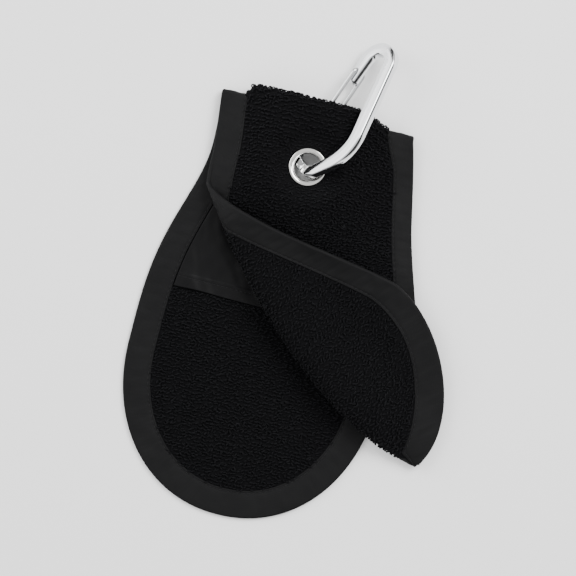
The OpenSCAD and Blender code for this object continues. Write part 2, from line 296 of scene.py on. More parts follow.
def travelled(line: Array) -> Array:
    """Distances along a line of points, from 0 at its first."""
    return np.concatenate([[0], np.cumsum(np.linalg.norm(np.diff(line, axis=0), axis=-1))])


def dress(piece: bpy.types.Object, material: bpy.types.Material, body: str) -> None:
    """Gives a piece its material and the body that it rides on."""
    piece.data.materials.append(material)
    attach(piece, body)


# --------------------------------------------------------------------------------------------
# How the cloth lies
# --------------------------------------------------------------------------------------------


@dataclass(frozen=True)
class Leaves:
    """The towel's outline and the surfaces its two leaves lie in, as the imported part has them.

    Both leaves share one outline. They lie flat, arch over the clip's gate at the neck, and are
    pinched together where the eyelet clamps them.
    """

    widest: float = 69.5
    waist: float = 51.5
    waist_spread: float = 1.9
    round_end: float = 80.0
    end_power: float = 2.1
    side_power: float = 1.6
    widest_y: float = 13.0
    waist_y: float = 128.0
    fold_y: float = 154.3
    terry: float = 3.0
    tape: float = 15.0
    neck_rise: float = 12.0
    arch_start_y: float = 72.0
    arch_ramp: float = 46.0
    arch_middle_x: float = -1.0
    arch_flat: float = 14.0
    arch_side: float = 38.0
    leaf_gap: float = 4.1
    flap_gap: float = 3.6
    table_run: float = 16.0
    roll: float = 6.5
    crest_out: float = 5.9
    crest_low: float = 0.9
    crest_flat: float = 23.0
    crest_slope: float = 15.0
    crest_start_y: float = 138.0
    eyelet: tuple[float, float, float] = (1.5, 126.7, 12.6)
    pinch_gap: float = 2.1
    pinch_share: float = 0.45
    clamped: float = 12.5
    free: float = 23.0
    cloth_hole: float = 8.15
    neck_share: float = 0.22
    tip_share: float = 0.996

    def half_width(self, y: Array, inset: float = 0.0) -> Array:
        """Half of a leaf's width at y: a full ellipse below its widest line, then a slow narrowing.

        Args:
            y: Places along the towel.
            inset: How far inside the cut edge to measure.

        Returns:
            Half-widths, one for each y.
        """
        below = np.clip(np.abs(self.widest_y - y) / (self.round_end - inset), 0, 1)
        end = (self.widest - inset) * (1 - below**self.end_power) ** (1 / self.end_power)
        share = np.clip((y - self.widest_y) / (self.waist_y - self.widest_y), 0, 1)
        narrowing = 0.5 + 0.5 * np.cos(math.pi * share**self.side_power)
        side = mix(self.waist, self.widest, narrowing) - inset
        spread = np.clip((y - self.waist_y) / (self.fold_y - self.waist_y), 0, None) ** 2
        return np.where(y < self.widest_y, end, side + self.waist_spread * spread)

    def reach(self, x: Array, y: Array) -> Array:
        """Plan distance from the eyelet's axis."""
        return np.hypot(x - self.eyelet[0], y - self.eyelet[1])

    def loose(self, x: Array, y: Array) -> Array:
        """0 where the eyelet clamps the cloth, rising to 1 where the cloth is free of it."""
        return smooth((self.reach(x, y) - self.clamped) / (self.free - self.clamped))

    def arch(self, x: Array, y: Array) -> Array:
        """Height of the neck's arch over the clip's gate: a ramp along Y times a plateau."""
        ramp = smooth((y - self.arch_start_y) / self.arch_ramp)
        from_middle = np.abs(x - self.arch_middle_x)
        return self.neck_rise * ramp * (1 - smooth((from_middle - self.arch_flat) / self.arch_side))

    def gap(self, x: Array, y: Array) -> Array:
        """Distance between the middles of the two leaves."""
        return mix(self.pinch_gap, self.leaf_gap, self.loose(x, y))

    def middle(self, x: Array, y: Array) -> Array:
        """Height of the middle of the folded stack."""
        free = (self.terry + self.leaf_gap) / 2 + self.arch(x, y)
        return mix(self.eyelet[2], free, self.loose(x, y))

    def back(self, x: Array, y: Array) -> Array:
        """Height of the middle of the lower leaf."""
        return self.middle(x, y) - self.gap(x, y) / 2

    def front(self, x: Array, y: Array) -> Array:
        """Height of the middle of the upper leaf, which sinks to the table beyond the lower one."""
        off = smooth((x - self.half_width(y) - 1) / self.table_run)
        return self.middle(x, y) + self.gap(x, y) / 2 - self.flap_gap * off

    def crest(self, x: Array) -> Array:
        """How much further out than the tape the terry goes over the fold at x."""
        inside = smooth((self.waist + self.waist_spread - self.tape + 1.0 - np.abs(x)) / 2.5)
        lower = smooth((x - self.crest_flat) / self.crest_slope)
        return mix(self.crest_out, self.crest_low, lower) * inside

    def stretched(self, points: Array) -> Array:
        """Moves points near the fold out along Y, so the terry stands clear of the tape."""
        moved = points.copy()
        share = smooth((points[..., 1] - self.crest_start_y) / (self.fold_y - self.crest_start_y))
        moved[..., 1] += share * self.crest(points[..., 0])
        return moved

    def pierced(self, mid: Array) -> Array:
        """Cuts the eyelet's hole in a grid of cloth.

        Points inside the hole move out to its rim, and a cell with all four corners inside goes.

        Args:
            mid: The grid's middle points, which are changed in place.

        Returns:
            Which cells are kept.
        """
        centre = np.array(self.eyelet[:2])
        away = mid[..., :2] - centre
        inside = np.linalg.norm(away, axis=-1) < self.cloth_hole
        mid[inside, :2] = (centre + unit(away) * self.cloth_hole)[inside]
        return ~(inside[:-1, :-1] & inside[1:, :-1] & inside[:-1, 1:] & inside[1:, 1:])


@dataclass(frozen=True)
class UpperLeaf:
    """The upper leaf as rows across it: over the flap, round the roll at its crease, and back.

    A row is a plan line from its edge to the crease and another from the crease to the far edge.
    Its height follows a half circle of the roll's radius at the crease.
    """

    leaves: Leaves
    start: tuple[float, float] = (-48.7, 106.3)
    tip: tuple[float, float] = (98.4, -14.6)
    ridge_mid: tuple[float, float] = (61.5, 78.0)
    ridge_pull: tuple = ((-27, 88), (30, 86), (92, 67), (118, 14))
    crease_pull: tuple = ((-15, 55), (46, -6))
    right: tuple[float, float] = (64.2, 108.0)
    right_pull: tuple = ((72, 76), (93, 30))
    fold_left_x: float = -53.3
    fold_right_x: float = 53.4
    left_bow: float = 1.6
    start_roll: float = 2.2
    tip_roll: float = 2.1
    edge_lift: float = 5.0
    lift_reach: float = 30.0
    settle: float = 34.0
    turned_under: float = 0.75

    def rows(self, v: Array) -> dict[str, Array]:
        """Plan points, roll radius and edge lift of rows at v, from fold (0) to tip (1)."""
        n = self.leaves
        t = np.clip(v / n.neck_share, 0, 1)
        k = np.clip((v - n.neck_share) / (1 - n.neck_share), 0, 1)
        y = mix(n.fold_y, self.start[1], t)
        bow = self.left_bow * np.sin(math.pi * t)
        left = np.stack([mix(self.fold_left_x, self.start[0], t**2.2) + bow, y], -1)
        right_y = mix(n.fold_y, self.right[1], t)
        right = np.stack([mix(self.fold_right_x, self.right[0], t**0.9), right_y], -1)
        pull = self.ridge_pull
        first = bezier([self.start, *pull[:2], self.ridge_mid], np.clip(2 * k, 0, 1))
        second = bezier([self.ridge_mid, *pull[2:], self.tip], np.clip(2 * k - 1, 0, 1))
        ridge = np.where((k < 0.5)[:, None], first, second)
        crease = bezier([self.start, *self.crease_pull, self.tip], k)
        under = bezier([self.right, *self.right_pull, self.tip], k)
        grown = mix(self.start_roll, n.roll, smooth(k / 0.3))
        closed = mix(n.roll, self.tip_roll, smooth((k - 0.7) / 0.28))
        roll = np.where(k < 0.7, grown, closed)
        curl = mix(0.05, self.start_roll, smooth((t - 0.5) / 0.5))
        neck = (v < n.neck_share)[:, None]
        lift = self.edge_lift * smooth(k / 0.15) * (1 - smooth((k - 0.55) / 0.4))
        frame = {
            "edge": np.where(neck, left, ridge),
            "crease": np.where(neck, left, crease),
            "far": np.where(neck, right, under),
            "roll": np.where(neck[:, 0], curl, roll),
            "lift": np.where(neck[:, 0], 0.0, lift),
            "k": k,
            "v": v,
        }
        for name, end in (("top", "edge"), ("below", "far")):
            plan = np.linalg.norm(frame[end] - frame["crease"], axis=-1)
            frame[name] = self.cloth_of(plan, frame["roll"])
        frame["length"] = frame["top"] + frame["below"]
        return frame

    @staticmethod
    def cloth_of(plan: Array, roll: Array) -> Array:
        """The length of cloth over a plan distance from the crease, round the roll and on."""
        bent = roll * np.arccos(np.clip(1 - plan / roll, -1, 1))
        return np.where(plan < roll, bent, plan + (math.pi / 2 - 1) * roll)

    def at(self, frame: dict[str, Array], s: Array) -> Array:
        """Points at cloth distances s from each row's left edge.

        Args:
            frame: The rows, from rows().
            s: Distances, rows by columns.

        Returns:
            Points, rows by columns by three.
        """
        n = self.leaves
        roll, top = frame["roll"][:, None], frame["top"][:, None]
        q = s - top
        bend = np.clip(np.abs(q) / roll, 0, math.pi / 2)
        straight = np.abs(q) - (math.pi / 2 - 1) * roll
        plan = np.where(bend < math.pi / 2, roll * (1 - np.cos(bend)), straight)
        to_edge = unit(frame["edge"] - frame["crease"])[:, None]
        to_far = unit(frame["far"] - frame["crease"])[:, None]
        heading = np.where((q < 0)[..., None], to_edge, to_far)
        flat = frame["crease"][:, None] + heading * plan[..., None]
        base = n.front(flat[..., 0], flat[..., 1])
        settled = smooth((plan - roll) / self.settle)
        over = mix(roll * (1 + np.sin(bend)), n.flap_gap, settled)
        over = over + frame["lift"][:, None] * np.clip(1 - s / self.lift_reach, 0, 1) ** 2
        under = roll * (1 - np.sin(bend))
        return np.concatenate([flat, (base + np.where(q < 0, over, under))[..., None]], -1)

    def left_tape(self, frame: dict[str, Array]) -> Array:
        """Width of tape at a row's left edge, wider where the row meets the edge at a slant."""
        slant = 1 + 0.35 * smooth((frame["k"] - 0.6) / 0.35)
        return np.minimum(self.leaves.tape * slant, frame["length"] / 2 - 0.05)

    def right_tape(self, frame: dict[str, Array]) -> Array:
        """Width of tape at a row's right edge, which is turned partly under beside the neck."""
        v = frame["v"]
        turned = smooth(v / 0.1) * (1 - smooth((v - 0.4) / 0.12))
        width = self.leaves.tape * mix(1, self.turned_under, turned)
        return np.minimum(width, frame["length"] / 2 - 0.05)


# --------------------------------------------------------------------------------------------
# Finishes
# --------------------------------------------------------------------------------------------


class Coords(Enum):
    """Where a pattern takes its place from."""

    OBJECT = "Object"
    UV = "UV"


class NodeTree:
    """The nodes of a material or a world, with one function that adds a node."""

    def __init__(self, tree: bpy.types.NodeTree) -> None:
        """Wraps an existing tree."""
        self.tree = tree

    def add(
        self, kind: str, links: Optional[dict] = None, values: Optional[dict] = None, **settings
    ) -> bpy.types.Node:
        """Adds a node.

        Args:
            kind: Blender's name for the node's type.
            links: Input name or number to the output socket that feeds it.
            values: Input name or number to its constant value.
            **settings: The node's own properties.

        Returns:
            The new node.
        """
        node = self.tree.nodes.new(kind)
        for name, value in settings.items():
            setattr(node, name, value)
        for name, value in (values or {}).items():
            node.inputs[name].default_value = value
        for name, source in (links or {}).items():
            self.tree.links.new(source, node.inputs[name])
        return node


class Surface(NodeTree):
    """A new material's nodes, round one Principled surface."""

    def __init__(self, name: str) -> None:
        """Makes a material of that name with a Principled surface and nothing else."""
        self.material = bpy.data.materials.new(name)
        self.material.use_nodes = True
        super().__init__(self.material.node_tree)
        self.tree.nodes.clear()
        self.surface = self.add("ShaderNodeBsdfPrincipled")
        self.add("ShaderNodeOutputMaterial", {"Surface": self.surface.outputs[0]})

    def feed(self, **sockets) -> None:
        """Links outputs to the surface's inputs. An underscore in a name stands for a space."""
        for name, source in sockets.items():
            self.tree.links.new(source, self.surface.inputs[name.replace("_", " ")])

    def set(self, **values) -> None:
        """Sets the surface's constant inputs. An underscore in a name stands for a space."""
        for name, value in values.items():
            self.surface.inputs[name.replace("_", " ")].default_value = value

    def coords(self, kind: Coords) -> bpy.types.NodeSocket:
        """The Object coordinates in metres, or the UV map in millimetres of cloth."""
        return self.add("ShaderNodeTexCoord").outputs[kind.value]


@dataclass(frozen=True)
class TerryFinish:
    """Looped cotton terry, vat-dyed black: matt and light-absorbing, with a painted highlight on
    the loop tips and painted shade at their roots.
    """

    name: str = "cotton_terry_looped"
    # root and tip colours: painted shade at the loop roots and a painted highlight at the tips
    root: str = "#030304"
    tip: str = "#101012"
    patch_mm: float = 9.0
    fibre_mm: float = 0.35

    def material(self) -> bpy.types.Material:
        """Painted light: colour rises from a dark, shaded root to a paler, lit tip of each loop,
        and drifts over patches of crushed pile.
        """
        t = Surface(self.name)
        height = t.add("ShaderNodeAttribute", attribute_name="pile_shade")
        patch = t.add("ShaderNodeTexNoise", {"Vector": t.coords(Coords.OBJECT)},
                      {"Scale": 1 / (self.patch_mm * MM), "Detail": 3.0, "Roughness": 0.6})
        drift = t.add("ShaderNodeMapRange", {"Value": patch.outputs["Fac"]},
                      {"To Min": 0.55, "To Max": 1.3})
        share = t.add("ShaderNodeMath", {0: height.outputs["Fac"], 1: drift.outputs["Result"]},
                      operation="MULTIPLY")
        # painted shade and highlight: darker at the loop roots, paler at the tips
        colour = t.add("ShaderNodeMix", {"Factor": share.outputs[0]},
                       {6: linear(self.root), 7: linear(self.tip)}, data_type="RGBA")
        fibre = t.add("ShaderNodeTexNoise", {"Vector": t.coords(Coords.OBJECT)},
                      {"Scale": 1 / (self.fibre_mm * MM), "Detail": 2.0})
        bump = t.add("ShaderNodeBump", {"Height": fibre.outputs["Fac"]},
                     {"Strength": 0.5, "Distance": 0.15 * MM})
        t.feed(Base_Color=colour.outputs[2], Normal=bump.outputs[0])
        t.set(Roughness=0.95, Sheen_Weight=0.05, Sheen_Roughness=0.5, Sheen_Tint=linear("#9a9aa2"))
        t.surface.inputs["Specular IOR Level"].default_value = 0.12
        return t.material


@dataclass(frozen=True)
class TapeFinish:
    """Woven polyester binding tape, black: a close twill with a faint gloss along its bends."""

    name: str = "polyester_binding_tape_twill"
    warp: str = "#060607"
    weft: str = "#020203"
    rib_mm: float = 0.9  # the real twill is about 0.4 mm, too fine to show, so it is drawn coarser
    lean_deg: float = 62.0
    wear_mm: float = 14.0

    def material(self) -> bpy.types.Material:
        """Two sets of fine waves cross in the tape's own coordinates and make the twill."""
        t = Surface(self.name)
        place = t.add("ShaderNodeMapping", {"Vector": t.coords(Coords.UV)})
        place.inputs["Rotation"].default_value = (0, 0, math.radians(self.lean_deg))
        scale = math.pi / 10 / self.rib_mm
        twill = t.add("ShaderNodeTexWave", {"Vector": place.outputs[0]},
                      {"Scale": scale, "Distortion": 0.6})
        threads = t.add("ShaderNodeTexWave", {"Vector": t.coords(Coords.UV)},
                        {"Scale": scale, "Distortion": 0.8, "Detail": 1.0}, bands_direction="Y")
        both = t.add("ShaderNodeMath", {0: twill.outputs["Fac"], 1: threads.outputs["Fac"]},
                     operation="MULTIPLY")
        wear = t.add("ShaderNodeTexNoise", {"Vector": t.coords(Coords.OBJECT)},
                     {"Scale": 1 / (self.wear_mm * MM), "Detail": 4.0})
        gloss = t.add("ShaderNodeMapRange", {"Value": wear.outputs["Fac"]},
                      {"To Min": 0.66, "To Max": 0.84})
        colour = t.add("ShaderNodeMix", {"Factor": both.outputs[0]},
                       {6: linear(self.weft), 7: linear(self.warp)}, data_type="RGBA")
        bump = t.add("ShaderNodeBump", {"Height": both.outputs[0]},
                     {"Strength": 0.45, "Distance": 0.12 * MM})
        t.feed(Base_Color=colour.outputs[2], Normal=bump.outputs[0])
        t.feed(Roughness=gloss.outputs["Result"])
        t.set(Sheen_Weight=0.02, Sheen_Roughness=0.35, Sheen_Tint=linear("#8d8f96"))
        t.surface.inputs["Specular IOR Level"].default_value = 0.2
        return t.material


@dataclass(frozen=True)
class SatinFinish:
    """Satin-woven polyester lining, black: smooth, with a soft gloss across its threads."""

    name: str = "polyester_satin_lining"
    thread: str = "#040405"
    thread_mm: float = 0.7  # the real floats are about 0.1 mm, too fine to show
    drift_mm: float = 20.0

    def material(self) -> bpy.types.Material:
        """Fine parallel floats along X, with a slow drift of gloss over the panel."""
        t = Surface(self.name)
        place = t.coords(Coords.OBJECT)
        scale = math.pi / 10 / (self.thread_mm * MM)
        floats = t.add("ShaderNodeTexWave", {"Vector": place},
                       {"Scale": scale, "Distortion": 1.2, "Detail": 2.0},
                       bands_direction="Y")
        drift = t.add("ShaderNodeTexNoise", {"Vector": place},
                      {"Scale": 1 / (self.drift_mm * MM), "Detail": 3.0})
        gloss = t.add("ShaderNodeMapRange", {"Value": drift.outputs["Fac"]},
                      {"To Min": 0.5, "To Max": 0.68})
        bump = t.add("ShaderNodeBump", {"Height": floats.outputs["Fac"]},
                     {"Strength": 0.3, "Distance": 0.05 * MM})
        t.feed(Roughness=gloss.outputs["Result"], Normal=bump.outputs[0])
        t.set(Base_Color=linear(self.thread), Sheen_Weight=0.02, Anisotropic=0.35)
        t.surface.inputs["Specular IOR Level"].default_value = 0.12
        return t.material


@dataclass(frozen=True)
class ThreadFinish:
    """Spun polyester sewing thread, black: two plies twisted together, with a slight gloss."""

    name: str = "polyester_sewing_thread"
    ply: str = "#08080a"
    twist_mm: float = 0.4

    def material(self) -> bpy.types.Material:
        """A fine noise stands for the plies and their stray fibres."""
        t = Surface(self.name)
        twist = t.add("ShaderNodeTexNoise", {"Vector": t.coords(Coords.OBJECT)},
                      {"Scale": 1 / (self.twist_mm * MM)})
        bump = t.add("ShaderNodeBump", {"Height": twist.outputs["Fac"]},
                     {"Strength": 0.4, "Distance": 0.08 * MM})
        t.feed(Normal=bump.outputs[0])
        t.set(Base_Color=linear(self.ply), Roughness=0.7, Sheen_Weight=0.03)
        t.surface.inputs["Specular IOR Level"].default_value = 0.25
        return t.material


@dataclass(frozen=True)
class PlatedFinish:
    """Bright plating over a polished casting or pressing: near-mirror, with faint buffing haze."""

    name: str
    colour: str
    clean: float
    hazy: float
    grain_mm: float
    haze_mm: float = 6.0

    def material(self) -> bpy.types.Material:
        """Buffing lines and a slow haze vary the gloss; a very shallow bump softens the mirror."""
        t = Surface(self.name)
        place = t.coords(Coords.OBJECT)
        haze = t.add("ShaderNodeTexNoise", {"Vector": place},
                     {"Scale": 1 / (self.haze_mm * MM), "Detail": 5.0})
        gloss = t.add("ShaderNodeMapRange", {"Value": haze.outputs["Fac"]},
                      {"To Min": self.clean, "To Max": self.hazy})
        grain = t.add("ShaderNodeTexNoise", {"Vector": place},
                      {"Scale": 1 / (self.grain_mm * MM), "Detail": 3.0})
        bump = t.add("ShaderNodeBump", {"Height": grain.outputs["Fac"]},
                     {"Strength": 0.12, "Distance": 0.04 * MM})
        t.feed(Roughness=gloss.outputs["Result"], Normal=bump.outputs[0])
        t.set(Base_Color=linear(self.colour), Metallic=1.0)
        return t.material


# --------------------------------------------------------------------------------------------
# The towel
# --------------------------------------------------------------------------------------------


@dataclass
class Terry:
    """The hourglass of terry: its woven ground as one folded sheet, and the loops on it."""

    leaves: Leaves
    upper: UpperLeaf
    finish: TerryFinish = field(default_factory=TerryFinish)
    ground: float = 1.4
    clamped_share: float = 0.6
    ground_shade: float = 0.15
    hidden_edge: float = 1.6
    columns: int = 112
    loop_pitch: float = 1.9
    loop_width: float = 1.7
    loop_height: float = 1.05
    loop_twist: float = 0.18
    loop_foot: float = 0.12
    yarn: float = 0.42
    pressed: float = 0.3
    round_eyelet: float = 10.6
    lowest_y: float = -51.0
    shown_y: float = 47.0
    fold_half: float = 38.4
    first_row: float = 0.004
    last_row: float = 0.965
    flat: tuple[float, float] = (0.139, 0.462)
    cut_area: float = 0.0535

    def back_rows(self, y: Array, inset: float, columns: int) -> Array:
        """Rows of the lower leaf, each from its left to its right inset edge."""
        half = self.leaves.half_width(y, inset)
        x = half[:, None] * np.linspace(-1, 1, columns)[None]
        yy = np.broadcast_to(y[:, None], x.shape)
        return self.leaves.stretched(np.stack([x, yy, self.leaves.back(x, yy)], -1))

    def fold_rows(self, inset: float, columns: int) -> Array:
        """Rows round the fold at the waist: a half circle as thick as the leaves' gap."""
        n = self.leaves
        x = n.half_width(np.array([n.fold_y]), inset)[:, None] * np.linspace(-1, 1, columns)[None]
        x = np.broadcast_to(x, (9, columns))
        y = n.fold_y + n.crest(x)
        angle = np.radians(np.linspace(-72, 72, 9))[:, None]
        radius = n.gap(x, y) / 2
        rise = n.middle(x, y) + radius * np.sin(angle)
        return np.stack([x, y + radius * np.cos(angle), rise], -1)

    def front_rows(self, v: Array, inset: float, columns: int) -> Array:
        """Rows of the upper leaf at v, each from its left to its right inset edge."""
        frame = self.upper.rows(v)
        inset = np.minimum(inset, frame["length"] / 2 - 0.1)
        s = np.linspace(inset, frame["length"] - inset, columns, axis=-1)
        return self.leaves.stretched(self.upper.at(frame, s))

    def round_end_stops(self, inset: float, count: int) -> Array:
        """Values of y from near the bottom to the widest line, at equal angles round the end."""
        n = self.leaves
        return n.widest_y - (n.round_end - inset) * np.cos(np.radians(np.linspace(4, 90, count)))

    def make_ground(self) -> bpy.types.Object:
        """The woven ground: one closed sheet, with the eyelet's hole through both leaves."""
        n = self.leaves
        y = np.concatenate([
            self.round_end_stops(self.hidden_edge, 70),
            np.linspace(n.widest_y + 1.2, n.fold_y, 112),
        ])
        v = np.concatenate([
            np.linspace(0, n.neck_share, 42),
            np.linspace(n.neck_share + 0.004, n.tip_share, 196),
        ])
        inset = self.hidden_edge
        mid = np.concatenate([
            self.back_rows(y, inset, self.columns),
            self.fold_rows(inset, self.columns),
            self.front_rows(v, inset, self.columns),
        ])
        keep = n.pierced(mid)
        half = self.ground / 2 * mix(self.clamped_share, 1, n.loose(mid[..., 0], mid[..., 1]))
        vertices, faces = grid_solid(mid, half, keep)
        piece = new_piece("terry_ground", vertices, faces)
        # the ground takes a low pile value: painted shade, as deep down among the loop roots
        put_value(piece, "pile_shade", np.full(len(vertices), self.ground_shade))
        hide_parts("terry_panel")
        return piece

    def loop_shape(self) -> tuple[Array, Array, Array]:
        """One loop of yarn: an arch three-sided in section, its two feet in the ground.

        The arch is w cos(t) across and h sin(t)^0.8 up, for t from 0 to half a turn.

        Returns:
            Vertices, faces and each vertex's share of the loop's height.
        """
        t = np.linspace(0.0, math.pi, 6)
        path = np.stack([
            self.loop_width / 2 * np.cos(t),
            self.loop_twist * np.sin(2 * t),
            self.loop_height * np.sin(t) ** 0.8 - self.loop_foot,
        ], -1)
        turn = np.radians([90, 210, 330])
        section = np.stack([np.cos(turn), np.sin(turn)], -1) * self.yarn
        section = np.broadcast_to(section, (6, 3, 2))
        vertices, faces = swept(path, np.tile([0.0, 1.0, 0.0], (6, 1)), section)
        vertices, faces = vertices[:-2], faces[: 5 * 3]
        share = np.clip(vertices[:, 2] / (self.loop_height + self.yarn), 0, 1)
        return vertices, faces, share

    def make_loops(
        self, name: str, grid: Array, side: int, keep: Array, seed: int, press: float = 1.0
    ) -> bpy.types.Object:
        """Loops over one face of a part of the cloth.

        Args:
            name: The piece's name.
            grid: A lattice of middle points, about one loop apart.
            side: 1 for the side that the grid's normals point to, -1 for the other.
            keep: Which lattice points get a loop.
            seed: Picks each loop's own turn, lean and size.
            press: What share of their height loops keep that the towel lies on.

        Returns:
            One object that holds all these loops.
        """
        rng = np.random.default_rng(seed)
        normal = grid_normals(grid) * side
        tangent = unit(np.gradient(grid, axis=1))
        shift = rng.normal(0, 0.22, grid.shape[:2] + (2,)) * self.loop_pitch
        other = np.cross(normal, tangent)
        place = grid + tangent * shift[..., :1] + other * shift[..., 1:] * 0.8
        thin = mix(0.5, 1, self.leaves.loose(grid[..., 0], grid[..., 1]))
        place, normal, tangent = place[keep], normal[keep], tangent[keep]
        thin = thin[keep][:, None]
        count = len(place)
        turn = rng.normal(0, 0.45, count)[:, None]
        lean = rng.normal(0, 0.28, (count, 2))
        other = np.cross(normal, tangent)
        up = unit(normal + tangent * lean[:, :1] + other * lean[:, 1:])
        first = unit(tangent * np.cos(turn) + other * np.sin(turn))
        first = unit(first - up * np.sum(first * up, -1, keepdims=True))
        size = rng.uniform(0.82, 1.18, count)[:, None]
        axes = np.stack([first * size, np.cross(up, first) * size, up * size * thin * press], 1)
        foot = place + normal * self.ground / 2 * thin
        shape, faces, share = self.loop_shape()
        vertices, all_faces = copies(shape, faces, foot, axes)
        piece = new_piece(name, vertices, all_faces)
        # painted shade: each loop is darker towards its foot and paler towards its top, scaled at
        # random for each loop
        shade = share[None] * rng.uniform(0.55, 1.25, (count, 1))
        put_value(piece, "pile_shade", shade)
        return piece

    def lattice(
        self, grid_of: Callable[[Array, int], Array], span: float, low: float, high: float
    ) -> tuple[Array, Array]:
        """A lattice about one loop apart along the cloth, from a function of row position.

        Args:
            grid_of: Gives rows of points, with an equal number of columns, for row positions.
            span: The mean length of a row.
            low: The first row position.
            high: The last one.

        Returns:
            The lattice of middle points, and its rows' positions.
        """
        columns = int(span / self.loop_pitch)
        fine = np.linspace(low, high, 400)
        rows = grid_of(fine, columns)
        step = np.linalg.norm(np.diff(rows, axis=0), axis=-1).mean(1)
        passed = np.concatenate([[0], np.cumsum(step)])
        stops = np.interp(np.arange(0, passed[-1], self.loop_pitch * 0.95), passed, fine)
        return grid_of(stops, columns), stops

    def across(self, columns: int) -> Array:
        """Steady steps to both sides of a row's middle."""
        return (np.arange(columns) - (columns - 1) / 2) * self.loop_pitch

    def lower_rows(self, y: Array, columns: int) -> Array:
        """Lattice rows of the lower leaf at a steady spacing across."""
        shape = (len(y), columns)
        x, yy = np.broadcast_to(self.across(columns), shape), np.broadcast_to(y[:, None], shape)
        return self.leaves.stretched(np.stack([x, yy, self.leaves.back(x, yy)], -1))

    def upper_rows(self, v: Array, columns: int) -> Array:
        """Lattice rows of the upper leaf that keep their spacing as the leaf narrows to its tip."""
        frame = self.upper.rows(v)
        length = frame["length"][:, None]
        s = np.clip(length / 2 + self.across(columns), 0, length)
        return self.leaves.stretched(self.upper.at(frame, s))

    def clear(self, grid: Array) -> Array:
        """Which places lie outside the eyelet's flange."""
        return self.leaves.reach(grid[..., 0], grid[..., 1]) > self.round_eyelet

    def lower_loops(self) -> list[bpy.types.Object]:
        """The loops of the lower leaf: its uncovered face, and the face that lies on the table."""
        n = self.leaves
        grid, _ = self.lattice(self.lower_rows, 2 * (n.widest - n.tape), self.lowest_y, n.fold_y)
        y = np.minimum(grid[..., 1], n.fold_y)
        within = np.abs(grid[..., 0]) < n.half_width(y, n.tape) - 0.3
        shown = within & (grid[..., 1] < self.shown_y)
        under = within & self.clear(grid)
        return [
            self.make_loops("terry_loops_lower_face", grid, 1, shown, 11),
            self.make_loops("terry_loops_underside", grid, -1, under, 12, self.pressed),
        ]

    def fold_loops(self) -> bpy.types.Object:
        """The loops round the fold at the waist."""
        grid = self.fold_rows(self.leaves.tape, int(2 * self.fold_half / self.loop_pitch))[::2]
        return self.make_loops("terry_loops_fold", grid, -1, np.ones(grid.shape[:2], bool), 13)

    def upper_loops(self) -> list[bpy.types.Object]:
        """The loops of the upper leaf: its outer face, and the flap's face that is turned up."""
        n = self.leaves
        grid, stops = self.lattice(self.upper_rows, 2 * n.widest, self.first_row, self.last_row)
        frame = self.upper.rows(stops)
        length = frame["length"][:, None]
        s = length / 2 + self.across(grid.shape[1])
        left = self.upper.left_tape(frame)[:, None] + 0.5
        right = (frame["length"] - self.upper.right_tape(frame))[:, None] - 0.5
        within = (s > left) & (s < right) & (length > 2 * (n.tape + 0.6))
        flap = within & (frame["v"][:, None] > n.neck_share)
        outer = within & self.clear(grid)
        return [
            self.make_loops("terry_loops_upper_face", grid, -1, outer, 14),
            self.make_loops("terry_loops_flap", grid, 1, flap, 15),
        ]

    def make(self) -> list[bpy.types.Object]:
        """Builds the ground and its five fields of loops, and dresses them."""
        pieces = [self.make_ground(), *self.lower_loops(), self.fold_loops(), *self.upper_loops()]
        material = self.finish.material()
        for piece in pieces:
            dress(piece, material, "towel")
        return pieces


